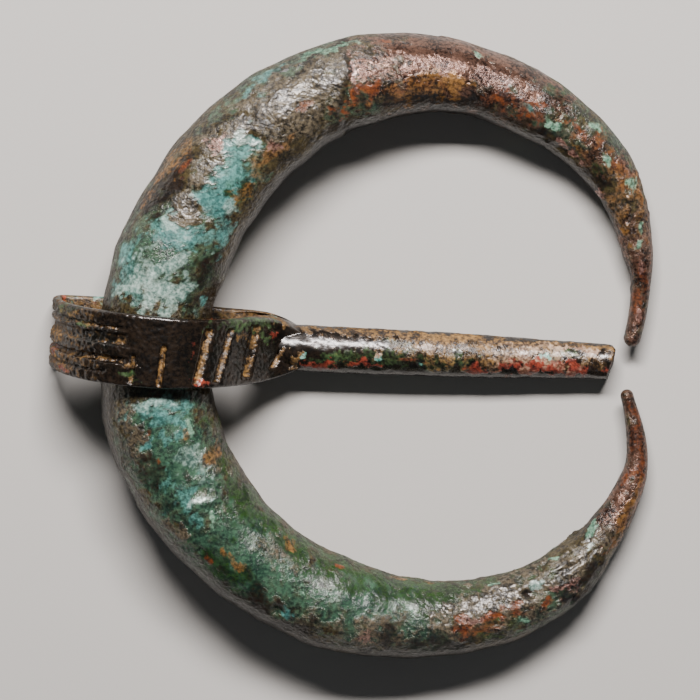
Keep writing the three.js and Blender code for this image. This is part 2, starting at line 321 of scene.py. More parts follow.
# %% [markdown]
# ## Rolling the bar
# Blender's grid operator makes the faces. Each vertex of the flat grid then goes to its
# place on the tube: its row says how far along the bar, its column how far round it. The
# long seam and the two end poles are welded, so the bar is one closed skin that can be
# raised and sunk without a gap.

# %% Roll a grid into the bent bar


def grid_mesh(name, along_count, around_count):
    """A flat grid: each vertex's x and y, 0 to 1, say which row and column it is in."""
    bm = bmesh.new()
    bmesh.ops.create_grid(bm, x_segments=along_count, y_segments=around_count, size=0.5)
    mesh = bpy.data.meshes.new(name)
    bm.to_mesh(mesh)
    bm.free()
    return mesh, places(mesh)[:, :2] + 0.5


WELD_GAP = 1e-7                           # in metres: vertices closer than this are one


def close_up(mesh, points):
    """Moves the vertices to their places, in mm, and welds the seams and poles."""
    mesh.vertices.foreach_set("co", (points * MM).ravel())
    bm = bmesh.new()
    bm.from_mesh(mesh)
    bmesh.ops.remove_doubles(bm, verts=bm.verts, dist=WELD_GAP)
    bmesh.ops.recalc_face_normals(bm, faces=bm.faces)
    bm.to_mesh(mesh)
    bm.free()
    mesh.update()


def hoop_rows():
    """Distances of the sections: even along the bar, closer over the rounded tips."""
    turn = np.linspace(0, math.pi / 2, 10)[:-1]
    tip_low, tip_high = LOWER_TAPER[-1][1] / 2, UPPER_TAPER[-1][1] / 2
    return np.r_[tip_low * (1 - np.cos(turn)), np.linspace(tip_low, LENGTH - tip_high, 562),
                 (LENGTH - tip_high * (1 - np.cos(turn)))[::-1]]


ROWS = hoop_rows()
AROUND = 116
hoop_mesh, cell = grid_mesh("hoop bronze", len(ROWS) - 1, AROUND)
along = ROWS[np.rint(cell[:, 0] * (len(ROWS) - 1)).astype(int)]
around = cell[:, 1] * 2 * math.pi         # 0 points out of the ring, a quarter turn is up
centre, outward = place_on_line(along)
radius = bar_radius(along)


def hoop_point(lift=0.0):
    """Places on the bar's skin, raised by lift, in the hoop's own plane, in mm."""
    reach = np.where(radius > 0.02, radius + lift, radius)
    flat = centre + outward * (reach * np.cos(around))[:, None]
    return np.c_[flat, reach * np.sin(around)]


def lay_hoop(points):
    """Tilts the hoop as it lies, its back held up by the pin's head."""
    c, s = math.cos(HOOP_TILT), math.sin(HOOP_TILT)
    x, y, z = points.T
    return np.c_[x * c + z * s, y, z * c - x * s]


smooth_bar = lay_hoop(hoop_point())
cad_low = np.array(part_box("hoop")[0]) / MM
HOOP_SHIFT = cad_low - smooth_bar.min(0)
print("hoop shifted by", HOOP_SHIFT.round(3), "mm; box", smooth_bar.min(0) + HOOP_SHIFT)

# %% [markdown]
# ## Where each layer of corrosion lies on the hoop
# Bronze corrodes in layers and in patches: smooth green salts, grainy grey crust with
# earth in it, orange oxide where the crust broke off, and bare red metal under that. Each
# layer is a list of patches, and each patch is an oval with a cloudy edge. The
# hidden underside gets plain cloudy layers.

# %% The patches
# Each patch: distance from the middle of the back in mm (upper arm +, lower arm -), degrees
# round the bar (0 faces out of the ring, 90 up, 180 in), length along the bar, width round
# it, strength and, where it has one, a turn in degrees.
PATCHES = {
    "green": [(8, 70, 9, 11, 0.75), (16.5, 95, 6, 5, 0.9), (-8, 84, 13, 9, 1.0),
              (-18, 86, 16, 11, 1.0), (-30, 105, 16, 8, 1.0), (23, 24, 12, 3, 0.6),
              (44, 98, 10, 4, 0.8), (50, 40, 8, 3, 0.5), (37, 75, 3, 2, 0.5), (-45, 70, 10, 5, 0.6),
              (9, 118, 9, 4, 0.55), (27.5, 118, 6, 4, 0.6)],
    "leaf": [(-13.8, 144, 9, 4, 1.0), (-20, 146, 8, 4, 0.9), (-27, 150, 12, 5, 0.9),
             (-36, 155, 14, 5, 0.95), (-44, 150, 6, 3, 0.8), (15.5, 112, 4, 2, 0.7),
             (43.5, 24, 7, 3.2, 0.9), (50.5, 118, 3, 1.6, 0.8), (-17.3, 62, 5, 2.5, 0.8),
             (-9, 152, 8, 2, 0.8), (8.5, 132, 5, 2.5, 0.5), (-40, 72, 6, 2, 0.6)],
    "crust": [(12.4, 76, 5.2, 3.4, 1.0), (17.4, 62, 4.4, 3.2, 0.95), (24.0, 74, 8.6, 6.2, 1.0),
              (20.5, 96, 4, 3, 0.7), (28, 62, 2.4, 4, 0.9), (-5.2, 52, 5.6, 2.4, 1.0),
              (-12.8, 54, 2.4, 1.9, 1.0), (-9.2, 130, 4, 2.6, 0.7), (-30, 70, 6, 3.2, 0.85),
              (-36, 96, 8, 3, 0.8), (-41, 112, 9, 4.4, 1.0), (-46.6, 100, 6, 4.2, 1.0),
              (53.6, 84, 5, 3.1, 0.8), (57, 84, 4, 2, 0.5), (46, 96, 5, 3.4, 0.5),
              (-19.5, 118, 5, 1.8, 0.6), (-24, 40, 8, 5, 0.7), (-50.5, 110, 3, 1.6, 0.6),
              (31.7, 92, 1.9, 1.8, 0.9), (38.5, 94, 1.8, 1.3, 0.8), (3.6, 104, 2.2, 2, 0.4)],
    # dark: near-black oxide; the long patches on the inner side of the upper arm and the outer side
    # of the lower arm, both turned from the lamp, are painted shade.
    "dark_and_shade": [(12.4, 36, 4.4, 3.0, 1.1), (8.4, 136, 5, 3, 0.85), (21, 160, 10, 3.4, 0.9),
             (-8.6, 62, 3.4, 2.7, 0.8), (-20.9, 36, 12, 4, 0.8), (-34, 40, 10, 4, 0.75),
             (-47.5, 58, 6, 2, 0.9), (36, 130, 16, 3.4, 1.0), (44, 140, 9, 3, 0.9),
             (52, 156, 7, 2, 0.9), (26, 150, 8, 3, 0.8), (53.2, 96, 2, 1, 0.6), (-3, 20, 8, 3, 0.6),
             (3.5, 28, 5, 2, 0.6), (-43.2, 110, 1.2, 0.8, 1.0), (6, 146, 7, 2, 0.7),
             (-60, 82, 10, 3, 0.62), (62, 86, 8, 3, 0.7), (53, 88, 9, 3, 0.45),
             (43.5, 92, 8, 3.4, 0.55)],
    "bare": [(36.5, 76, 15.6, 11, 1.4), (58.6, 90, 14, 5, 0.9), (-57.5, 80, 13, 6, 1.0),
             (-52.6, 70, 5, 2.4, 1.0), (49.6, 100, 3.6, 3, 0.85), (51.5, 56, 3, 2, 0.9),
             (-62, 90, 5, 4, 1.0), (64, 90, 6, 4, 1.0)],
    "turquoise": [(10.3, 80, 1.7, 6.6, 1.0, -18), (7.0, 38, 4.4, 1.4, 0.9, 4),
                  (14.4, 98, 7.4, 2.3, 1.0, -42), (17.3, 92, 2.8, 3.0, 0.8),
                  (21.0, 34, 2.0, 1.7, 0.9), (22.9, 28, 2.2, 0.9, 0.7), (19.3, 82, 0.7, 0.9, 1.3),
                  (-3.6, 86, 1.4, 5.4, 0.8), (-5.2, 96, 2.0, 2.2, 0.7), (-6.3, 66, 0.9, 0.7, 1.3),
                  (-23.0, 64, 0.8, 0.8, 1.3), (-11, 86, 3, 2.4, 0.55), (5.3, 138, 0.8, 0.5, 1.2),
                  (12.2, 126, 2.0, 1.6, 0.8), (5.6, 48, 3, 2, 0.55), (42.6, 94, 1.4, 0.8, 0.5)],
    "bloom": [(5.4, 78, 3.8, 4.6, 0.95), (8.0, 90, 2.6, 3.4, 0.75), (10.4, 70, 1, 2.6, 0.8),
              (-11.9, 90, 0.35, 2.6, 0.5, 12), (-3.4, 84, 0.8, 3.6, 0.7), (14.2, 118, 1, 1.4, 0.5),
              (18.9, 78, 1.2, 1.6, 0.7), (-44, 116, 1.2, 0.7, 0.8), (-49.3, 112, 0.8, 0.7, 0.9),
              (-8.8, 110, 3, 2.4, 0.4)],
    "mint": [(45.1, 94, 1.4, 1.3, 1.1), (47.8, 60, 1.3, 1.0, 0.9), (50.4, 84, 1.7, 0.8, 0.9),
             (38, 36, 0.6, 0.7, 0.9), (27.2, 28, 4.4, 0.9, 0.8), (-50.6, 146, 2, 0.5, 1.2, -14),
             (-13.8, 88, 1.3, 0.8, 0.9), (-40.5, 148, 1.4, 0.6, 0.9), (-46.4, 146, 0.7, 0.6, 1.2),
             (57.4, 88, 0.9, 0.6, 0.9), (-23.2, 96, 1.2, 0.9, 0.8), (-41.8, 72, 0.9, 0.7, 1.0),
             (52.9, 62, 0.9, 0.6, 0.9), (-5.7, 116, 1.7, 0.8, 0.8), (56.4, 74, 1.0, 0.5, 0.7)],
    "orange": [(28.7, 98, 2.4, 1.6, 1.15), (26.8, 120, 1.9, 1.7, 1.2),
               (14.4, 48, 1.1, 0.6, 1.1, 20), (13.7, 53, 0.6, 0.5, 1.2), (33, 104, 6, 1.3, 0.5),
               (41.5, 104, 5, 1.4, 0.5), (43, 84, 2.2, 0.5, 0.8, -10), (47.4, 84, 2.2, 0.4, 0.8, 8),
               (-16.3, 56, 0.55, 0.5, 1.5), (-37.0, 84, 1.3, 1.6, 1.1),
               (-39.2, 92, 2.5, 0.8, 1.1, 8), (-41.2, 90, 1.9, 1.1, 1.0),
               (-43.5, 78, 1.6, 0.7, 1.1, -6), (-5.3, 74, 0.6, 0.5, 0.9), (-38, 76, 3.5, 1.0, 0.6),
               (31.3, 32, 0.9, 0.5, 1.0), (45.6, 84, 2, 0.4, 0.7, -12), (24.0, 88, 2, 0.5, 0.6, 5),
               (-25.7, 146, 1.0, 0.4, 1.0), (51.4, 70, 1.6, 1.0, 0.7), (-7.8, 74, 0.6, 0.5, 0.8),
               (-58, 78, 9, 1.8, 0.55), (61, 84, 8, 1.4, 0.5), (50, 66, 8, 1.6, 0.5)],
    "gold": [(35.6, 94, 5.0, 1.1, 1.0, 4), (15.9, 118, 1.7, 1.3, 0.8), (-54, 76, 4.4, 1.0, 0.8),
             (-51.6, 62, 2.6, 1.1, 0.9), (56.1, 132, 0.6, 0.5, 1.1), (-20.5, 144, 1.6, 1.1, 0.9),
             (-31.3, 170, 1.6, 0.8, 0.7), (-34.7, 172, 1.2, 0.6, 0.8), (-16.4, 76, 1.2, 0.7, 0.8),
             (-17.6, 80, 1.0, 0.8, 0.8), (-6.4, 108, 1.2, 0.7, 0.6), (-9.0, 134, 2.2, 1.6, 0.5),
             (19.6, 110, 4.5, 1.4, 0.55), (48.5, 112, 2.4, 0.7, 0.5), (13.8, 26, 5, 1.6, 0.5),
             (53, 78, 9, 2.6, 0.35), (33, 112, 8, 2, 0.5)],
    # pink: flakes of bright copper; the two long thin patches along the top of the bare metal and
    # the thin one on the step's lip are painted highlight.
    "pink_and_highlight": [(33.5, 72, 9, 1.6, 0.45), (39.5, 76, 7, 1.4, 0.4), (48.2, 132, 2.0, 0.6, 1.2),
             (46.8, 126, 1.2, 0.6, 1.2), (52.5, 146, 1.2, 0.9, 0.9), (59.4, 90, 1.6, 0.7, 0.6),
             (63.6, 86, 1.5, 0.7, 0.5), (-45.8, 84, 2.2, 1.1, 0.7), (17.3, 58, 2.0, 1.4, 0.6),
             (28.4, 76, 0.3, 2.8, 0.9, 4), (-37.8, 96, 2, 0.7, 0.7), (20.0, 104, 1.4, 0.9, 0.6),
             (-29.5, 68, 1.4, 0.8, 0.5)],
}
# How far the cloudy layers of the hidden sides spread: threshold of their clouds.
HIDDEN_CLOUDS = {"green": 0.02, "leaf": 0.2, "crust": 0.12, "dark_and_shade": 0.1, "bare": 0.4,
                 "turquoise": 0.42, "bloom": 0.6, "mint": 0.55, "orange": 0.42, "gold": 0.45,
                 "pink_and_highlight": 0.6}
print("patches", {layer: len(patches) for layer, patches in PATCHES.items()})

# %% [markdown]
# ## Ragged ovals
# A patch of corrosion ends in a torn coastline. Noise shifts each place before the oval is
# measured, so a few numbers give an edge that no two patches share.

# %% Ragged ovals


def oval(u, v, length, width, clouds, turn=0):
    """1 inside an oval patch, fading over a ragged edge; u and v in mm from its middle."""
    ragged = 0.7 * min(1.3, min(length, width) / 2)
    u, v = u + ragged * clouds[0], v + ragged * clouds[1]
    c, s = math.cos(math.radians(turn)), math.sin(math.radians(turn))
    reach = np.hypot((u * c + v * s) / (length / 2), (v * c - u * s) / (width / 2))
    return 1 - smooth(0.35, 1.4, reach + 0.25 * clouds[2])


def cover(patches, along_bar, around_deg, round_radius, clouds):
    """Strength of a layer at each place, 0 to 1, from its list of patches."""
    total = np.zeros(len(along_bar))
    for middle, middle_deg, length, width, strength, *turn in patches:
        v = np.radians((around_deg - middle_deg + 180) % 360 - 180) * round_radius
        patch = oval(along_bar - middle, v, length, width, clouds, *turn)
        total = np.maximum(total, strength * patch)
    return total


def ragged_clouds(points, scale, seed):
    """Two clouds that shift a patch's edge and one that feathers it."""
    return np.array([2.2 * noise_at(points, scale * k, seed + i, 4)
                     for i, k in enumerate((1.0, 1.0, 0.5))])


print("middle of a patch", oval(0.0, 0.0, 4.0, 4.0, (0, 0, 0)))

# %% [markdown]
# ## Layers on the hoop
# Each layer becomes a number on every vertex of the mesh, an attribute, which the material
# reads by its name. The bare metal starts where the crust of the back broke off.

# %% Layers on the hoop
bar_d = along - BACK
bar_deg = np.degrees(around)
edge_clouds = ragged_clouds(smooth_bar, 1.5, 11)
unseen = smooth(0.1, -0.35, np.sin(around))
shaded_sides = 1 - smooth(0.1, 0.75, np.sin(around))
faces_up_arm = outward[:, 1] * np.cos(around)      # 1 faces the upper arm's side, +Y
# The crust of the back ends in a broken step; past it the metal is bare.
step_at = 28.3 - 1.9 * smooth(60, 130, bar_deg) + 0.22 * edge_clouds[0]
past_step = smooth(step_at - 0.12, step_at + 0.12, bar_d)
hoop_masks = {}
for number, (layer, patches) in enumerate(PATCHES.items()):
    mask = cover(patches, bar_d, bar_deg, radius, edge_clouds)
    drift = noise_at(smooth_bar, 3.4, 30 + number, 3)
    hidden = 0.8 * smooth(HIDDEN_CLOUDS[layer] - 0.06, HIDDEN_CLOUDS[layer] + 0.12, drift)
    mask = np.maximum(mask, hidden * unseen)
    if layer == "bare":
        mask *= np.where(bar_d > 0, past_step, 1)
    if layer == "crust":
        mask *= 1 - past_step * (1 - smooth(29, 30, bar_d))
    if layer == "dark_and_shade":
        # Painted shade on the bar's sides, darkest on the sides turned from the lamp.
        mask = np.maximum(mask, shaded_sides * (0.55 - 0.5 * faces_up_arm + 0.25 * edge_clouds[2]))
        # Painted shade: a dark line along the edge of the broken step.
        mask = np.maximum(mask, 0.8 * (1 - smooth(0.05, 0.3, np.abs(bar_d - step_at + 0.1))))
    hoop_masks[layer] = mask
    hoop_mesh.attributes.new(layer, "FLOAT", "POINT").data.foreach_set("value", mask)
print("hoop layers", {name: round(float(mask.mean()), 2) for name, mask in hoop_masks.items()})

# %% [markdown]
# ## Relief of the hoop
# Old bronze isn't smooth: crust stands proud in lumps, a crack ends it in a step, and there
# are pits and a dent. Moving the vertices of a fine mesh along the bar's radius makes these
# real, so that they show on the outline. A Displace modifier could do it too, but here each
# lump can follow its own layer. Grain under 0.3 mm is left to bump.

# %% The hoop's relief
# Where clots of crust sit, as for a patch.
LUMPY = [(53.6, 84, 6, 4, 1.0), (-45, 100, 14, 6, 1.0), (-38, 88, 8, 5, 0.7), (46, 100, 9, 5, 0.7),
         (24, 76, 9, 6, 0.5)]
# Hollows, with their depth in mm in the place of strength.
PITS = [(-11.3, 98, 1.5, 1.6, 0.28, 12), (19.3, 82, 0.8, 0.8, 0.3), (-43.2, 110, 1.3, 1.0, 0.3),
        (-46.4, 113, 3.2, 0.5, 0.22, 12), (-22.4, 58, 0.9, 1.0, 0.3), (60.2, 180, 2.2, 1.6, 0.3),
        (47.5, 130, 1.5, 1.0, 0.25), (-15.2, 60, 1.0, 0.5, 0.2), (51.6, 96, 1.4, 1.6, 0.16),
        (-8.6, 60, 3.2, 2.6, 0.1), (12.4, 76, 5, 3.2, 0.06)]
# Raised lips, with their height.
LIPS = [(-12.3, 92, 0.7, 3.0, 0.12, 14), (-50.5, 146, 2.2, 0.8, 0.05, -14),
        (46.8, 128, 2.6, 0.8, 0.12), (-46.0, 118, 3.0, 0.8, 0.1, 12), (52.3, 146, 1.8, 1.2, 0.16)]
# Heights in mm: on clean metal, on crust, and of the clots on the lumpy places.
SWELL, LUMPS, GRAIN = 0.05, 0.016, 0.012
CRUST_PROUD, CRUST_LUMPS, CRUST_GRAIN = 0.07, 0.045, 0.03
CLOTS = 0.2
STEP_DROP = 0.16                          # how far the bare metal lies below the crust

wide = noise_at(smooth_bar, 2.6, 21, 2)
lumps = noise_at(smooth_bar, 0.85, 22, 3)
grain = noise_at(smooth_bar, 0.42, 23, 2)
crusty = np.clip(hoop_masks["crust"], 0, 1)
bare = np.clip(hoop_masks["bare"] - crusty, 0, 1)
relief = SWELL * wide + (GRAIN * grain + LUMPS * lumps) * (1 - 0.5 * bare)
relief += crusty * (CRUST_PROUD + CRUST_LUMPS * lumps + CRUST_GRAIN * grain)
lumpy = cover(LUMPY, bar_d, bar_deg, radius, edge_clouds * 0.5)
relief += CLOTS * lumpy * np.tanh(2.5 * lumps**2)
quiet_edge = edge_clouds * 0.3
for pit in PITS:
    relief -= cover([pit], bar_d, bar_deg, radius, quiet_edge)
for lip in LIPS:
    relief += cover([lip], bar_d, bar_deg, radius, quiet_edge)
in_view = smooth(-0.3, 0.2, np.sin(around))
relief -= STEP_DROP * past_step * (1 - smooth(38, 47, bar_d)) * in_view
# Under the pin's loop the bar is rubbed smooth, and both thin tips keep their thickness.
LOOP_SPAN = (-2.9, 4.3)
rubbed = (smooth(LOOP_SPAN[0] - 1.0, LOOP_SPAN[0], bar_d)
          * (1 - smooth(LOOP_SPAN[1], LOOP_SPAN[1] + 1.0, bar_d)))
relief = relief * (1 - 0.85 * rubbed) * np.clip(radius / 1.6, 0.25, 1)

close_up(hoop_mesh, lay_hoop(hoop_point(relief)) + HOOP_SHIFT)
hoop = put("hoop_bronze", hoop_mesh)
for face in hoop_mesh.polygons:
    face.use_smooth = True
print("hoop", len(hoop_mesh.vertices), "vertices", len(hoop_mesh.polygons), "faces, relief",
      relief.min().round(2), "to", relief.max().round(2), "mm")

# %% [markdown]
# ## How a layered patina is shaded
# The layers are mixed one over another. A layer's strength, read from the mesh, is broken
# up by fine clouds, so that its edge frays into specks. Each layer has a dark and a light
# shade, shared out by the same fine clouds and a broader tone. Roughness, metal and grain
# travel beside the colour, and the grain sets how high the grit stands. Whole shaders could
# be mixed instead, but one shader with mixed values is lighter and takes one coat.

# %% The hoop's shades
# Layer: dark and light shade, roughness, metal, grain of its surface (0 to 1), and how
# softly it thins out at its edge. The base has no edge.
HOOP_BASE = ("#15110A", "#4F452B", 0.36, 0.2, 0.7)
HOOP_LAYERS = [
    ("green", "#1C352B", "#466750", 0.25, 0.2, 0.3, 0.5),      # smooth blue-green salts
    ("leaf", "#0E200A", "#28431B", 0.3, 0.1, 0.35, 0.5),       # leaf-green malachite
    ("bare", "#1F0F09", "#846150", 0.33, 0.85, 0.3, 0.35),     # red-brown metal, shines
    ("crust", "#14110B", "#655B49", 0.38, 0.15, 1.0, 0.3),     # grey grainy crust with earth
    # The dark layer is near-black oxide and also painted shade on the sides turned from the lamp.
    ("dark_and_shade", "#060403", "#231910", 0.38, 0.15, 0.6, 0.4),      # near-black oxide
    ("turquoise", "#26544F", "#588E87", 0.46, 0.0, 0.4, 0.5),  # powdery blue-green
    ("orange", "#351507", "#7C4220", 0.4, 0.2, 0.5, 0.45),     # cuprite, earthy red-orange
    ("gold", "#3F2A10", "#9A6F3E", 0.32, 0.4, 0.6, 0.5),       # rubbed metal and ochre earth
    ("mint", "#335A46", "#7C9F86", 0.5, 0.0, 0.6, 0.32),       # pale fresh salts
    ("bloom", "#5B7D72", "#AAC0B6", 0.48, 0.0, 0.5, 0.75),     # whitish powder
    # The pink layer is copper flakes and also painted highlight on the bare metal's top and the
    # step's lip.
    ("pink_and_highlight", "#432620", "#AD8578", 0.26, 0.5, 0.6, 0.25),      # flakes of bright copper
]
print("hoop layers, undermost first:", [layer[0] for layer in HOOP_LAYERS])

# %% [markdown]
# ## The patina builder
# Hoop and pin are the same metal from the same earth, so one function lays both patinas,
# each over its own base and with its own layers.

# %% The patina builder
# Sizes of the clouds in mm, their octaves and how rough they are. Veins and fine grain fray
# each layer, tone varies its shade, and two kinds of grit raise the surface. The real grit
# is finer than 0.3 mm; it is drawn this coarse so that it shows.
CLOUDS = {"veins": (0.9, 6.0, 0.62), "fine": (0.3, 5.0, 0.72), "tone": (1.9, 4.0, 0.6),
          "grit": (0.34, 1.5, 0.5), "coarse grit": (1.1, 2.0, 0.5)}
COARSE_SHARE = 1.4                        # how much higher the coarse grit stands
FRAY = 1.5                                # how far the clouds break up a layer's edge
WAX_ROUGHNESS = 0.24                      # rubbed wax: soft, neither polished nor matt


def patina(name, base, layers, bump_mm, wax):
    """A metal skin of corrosion layers, each laid where the mesh's own attribute says."""
    material = bpy.data.materials.new(name)
    material.use_nodes = True
    tree = material.node_tree
    shader = tree.nodes["Principled BSDF"]
    node = partial(add, tree)
    place = node("TexCoord", out="Object")
    cloud = {}
    for use, (size_mm, octaves, rough) in CLOUDS.items():
        cloud[use] = node("TexNoise", {"Vector": place, "Scale": 1 / (size_mm * MM),
                                       "Detail": octaves, "Roughness": rough})
    # A Map Range takes a value, the range it is read over and the range it is stretched to.
    specks = node("MapRange", (cloud["fine"], 0.4, 0.62, 0.0, 1.0))
    tone = node("MapRange", (cloud["tone"], 0.35, 0.65, -0.3, 0.3))
    shade = node("Math", (specks, tone), operation="ADD", use_clamp=True)
    broken = node("Math", (cloud["veins"], cloud["fine"]), operation="ADD")
    breaker = node("Math", (broken, FRAY), operation="MULTIPLY")
    # A colour Mix has its share in socket 0 and its two colours in 6 and 7.
    shades = {0: shade, 6: colour(base[0]), 7: colour(base[1])}
    body = node("Mix", shades, out=2, data_type="RGBA")
    manner = (*base[2:], 1.0)
    for layer, dark_shade, light_shade, roughness, metal, grain_share, soft in layers:
        strength = node("Attribute", out="Fac", attribute_name=layer)
        frayed = node("Math", (strength, breaker), operation="ADD")
        inside = node("MapRange", (frayed, 2 - soft, 2 + soft, 0.0, 1.0))
        laid = node("MapRange", (strength, 0.08, 0.3, 0.0, 1.0))
        share = node("Math", (inside, laid), operation="MULTIPLY")
        shades = {0: shade, 6: colour(dark_shade), 7: colour(light_shade)}
        skin = node("Mix", shades, out=2, data_type="RGBA")
        body = node("Mix", {0: share, 6: body, 7: skin}, out=2, data_type="RGBA")
        own_manner = (roughness, metal, grain_share, 1.0)
        manner = node("Mix", {0: share, 6: manner, 7: own_manner}, out=2, data_type="RGBA")
    roughness, metal, grain = node("SeparateColor", (manner,)).node.outputs
    polish = node("MapRange", (cloud["fine"], 0.35, 0.65, 0.08, -0.08))
    rubbed_rough = node("Math", (roughness, polish), operation="ADD")
    coarse = node("Math", (cloud["coarse grit"], COARSE_SHARE), operation="MULTIPLY")
    grit = node("Math", (cloud["grit"], coarse), operation="ADD")
    height = node("Math", (grain, grit), operation="MULTIPLY")
    bump = node("Bump", {"Height": height, "Strength": 1.0, "Distance": bump_mm * MM})
    # The thin wax of a cleaned find: a pale broad shine over every layer. Its grains shade
    # each other at a flat angle, so the shine fades towards the rims, and dry crust holds
    # less of it.
    facing = node("LayerWeight", {"Blend": 0.5}, out="Facing")
    waxed = node("MapRange", (facing, 0.3, 0.75, wax, 0.0))
    holds = node("MapRange", (grain, 0.4, 1.0, 1.0, 0.4))
    sources = {"Base Color": body, "Roughness": rubbed_rough, "Metallic": metal, "Normal": bump,
               "Coat Normal": bump,
               "Specular IOR Level": node("MapRange", (facing, 0.35, 0.85, 0.5, 0.05)),
               "Coat Weight": node("Math", (waxed, holds), operation="MULTIPLY")}
    for socket, source in sources.items():
        tree.links.new(source, shader.inputs[socket])
    shader.inputs["Coat Roughness"].default_value = WAX_ROUGHNESS
    print(name, len(tree.nodes), "nodes")
    return material


# %% [markdown]
# ## Finish of the hoop
# The real bar is cast and hammered bronze, cleaned and waxed after its find. The shine of
# the wax lies over every layer, which ties the mottled colours together.

# %% The hoop's finish
# Bronze that lay in wet earth, cleaned and waxed: mottled, grainy, with a soft pale shine.
HOOP_BUMP, HOOP_WAX = 0.1, 0.75           # height of the grain in mm, share of the wax
hoop_finish = patina("patinated bronze, layered corrosion", HOOP_BASE, HOOP_LAYERS,
                     HOOP_BUMP, HOOP_WAX)
hoop_mesh.materials.append(hoop_finish)

# %% [markdown]
# ## The pin
# The pin's head is a strip folded into a loop with a flat back. It is a grid rolled up
# twice, once round the loop and once round the strip's own section, so that the loop
# closes on itself. The shaft is another rolled grid whose far end is a rough break. Blocks
# cut by Booleans would give the form too, but not the even mesh that the ornament needs.

# %% The head's loop
LOOP_LEFT, LOOP_CROWN, LOOP_WALL, LOOP_CORNER = -8.45, (0.8, 11.25), 0.73, 1.0
SHOULDER, ROOT_END = (10.4, 3.4), (13.2, 2.9)
EYE_LEFT, EYE_RIGHT = LOOP_LEFT + LOOP_WALL, 9.2
EYE_FLOOR, EYE_CROWN = LOOP_WALL, LOOP_CROWN[1] - LOOP_WALL
HEAD_WIDTH, HEAD_TURN, HEAD_Y = 5.7, math.radians(4.3), 0.6
HEAD_PLAN = [(-8.45, 0.97), (-4, 1.0), (1, 0.99), (5, 0.95), (8.6, 0.92), (10.3, 0.77),
             (11.6, 0.55), (13.2, 0.28)]
SHAFT_START, SHAFT_END = 9.9, 37.25
SHAFT_TAPER = [(9.9, 3.7), (11.8, 3.76), (23.6, 3.56), (35.6, 2.9), (37.3, 2.8)]
SHAFT_Y, SHAFT_TURN = -0.1, math.radians(2.7)
RIM = 0.25                                # rounding of the strip's edges


def evenly(line, count):
    """count points at equal distances along a row of points."""
    run = run_along(line)
    at = np.linspace(0, run[-1], count)
    return np.c_[np.interp(at, run, line[:, 0]), np.interp(at, run, line[:, 1])]


ARCH_ROWS, BACK_ROWS = 310, 70


def loop_side(left, crown, corner, bulge, foot, floor, tail):
    """One face of the strip in side view: over the arch, then along the flat back."""
    top = (LOOP_CROWN[0], crown)
    arch = np.vstack([
        bezier([foot, (foot[0] + bulge[0], foot[1] + bulge[1]),
                (top[0] + bulge[2], crown), top], 120),
        bezier([top, (top[0] - bulge[3], crown), (left, bulge[4]),
                (left, floor + corner)], 120)[1:],
        arc((left + corner, floor + corner), corner, math.pi, 1.5 * math.pi, 16)[1:]])
    back = np.array([(left + corner, floor)] + tail, float)
    return np.vstack([evenly(arch, ARCH_ROWS), evenly(back, BACK_ROWS + 2)[1:-1]])


# The bulge: handles of the two curves in mm, the foot's along and up, the crown's towards
# the foot and away from it, and how high the left wall's handle is.
outer = loop_side(LOOP_LEFT, LOOP_CROWN[1], LOOP_CORNER, (-2.5, 1.0, 5.2, 5.0, 7.4),
                  SHOULDER, 0, [(ROOT_END[0], 0), ROOT_END, SHOULDER])
inner = loop_side(EYE_LEFT, EYE_CROWN, LOOP_CORNER * 0.5, (-1.6, 2.5, 4.8, 4.7, 6.95),
                  (EYE_RIGHT, EYE_FLOOR), EYE_FLOOR, [(EYE_RIGHT, EYE_FLOOR)])
print("loop rows", len(outer), len(inner))

# %% [markdown]
# ## The strip's section
# The strip is thin and wide, with rubbed edges. Its section is drawn once, as points round
# a flat bar with small rounded rims, and the grid's columns follow it.

# %% The strip's section
FACE_POINTS, INNER_POINTS, RIM_POINTS = 60, 22, 4


def strip_section():
    """Round the strip: how far across it (-1 to 1), how deep in it (0 outer, 1 inner)."""
    edge = 1 - RIM / (HEAD_WIDTH / 2)
    deep = RIM / LOOP_WALL
    bend = np.linspace(0, math.pi / 2, RIM_POINTS + 1)
    round_across = edge + (1 - edge) * np.sin(bend)
    round_deep = deep * (1 - np.cos(bend))
    face = np.c_[np.linspace(-edge, edge, FACE_POINTS), np.zeros(FACE_POINTS)]
    down = np.c_[round_across[1:], round_deep[1:]]
    up = np.c_[round_across, 1 - round_deep][::-1]
    back = np.c_[np.linspace(edge, -edge, INNER_POINTS), np.ones(INNER_POINTS)]
    flip = np.array([-1, 1])
    return np.vstack([face, down, up, back[1:-1], (up * flip)[::-1], (down * flip)[::-1]])


SECTION = strip_section()
head_mesh, cell = grid_mesh("pin head", len(outer), len(SECTION))
row = np.rint(cell[:, 0] * len(outer)).astype(int) % len(outer)
spot = np.rint(cell[:, 1] * len(SECTION)).astype(int) % len(SECTION)
across, deep = SECTION[spot].T
side = outer[row] * (1 - deep)[:, None] + inner[row] * deep[:, None]
ahead = np.roll(outer, -1, axis=0) - np.roll(outer, 1, axis=0)
ahead /= np.linalg.norm(ahead, axis=1)[:, None]
into = np.c_[-ahead[:, 1], ahead[:, 0]][row]      # from the outer face into the metal
half = HEAD_WIDTH / 2 * through(HEAD_PLAN, side[:, 0])
head_y = across * half
on_arch = (row < ARCH_ROWS - 8)
print("strip section of", len(SECTION), "points, head", len(cell), "vertices")

# %% [markdown]
# ## Ornament of the head
# The ornament is cut with a graver: long grooves leave ribs on the left part of the front
# wall, and short slanting notches cross the rest. Each cut is a hollow with soft sides. It
# is sunk into the mesh, not faked by bump, because the light falls across it.

# %% Grooves and notches
# Along the left part: distance from the upper rim, width, depth, where it runs out.
GROOVES = [(1.2, 0.42, 0.22, -1.6), (2.1, 1.15, 0.30, -1.2), (3.7, 0.62, 0.38, -1.4),
           (4.75, 0.3, 0.14, -2.8)]
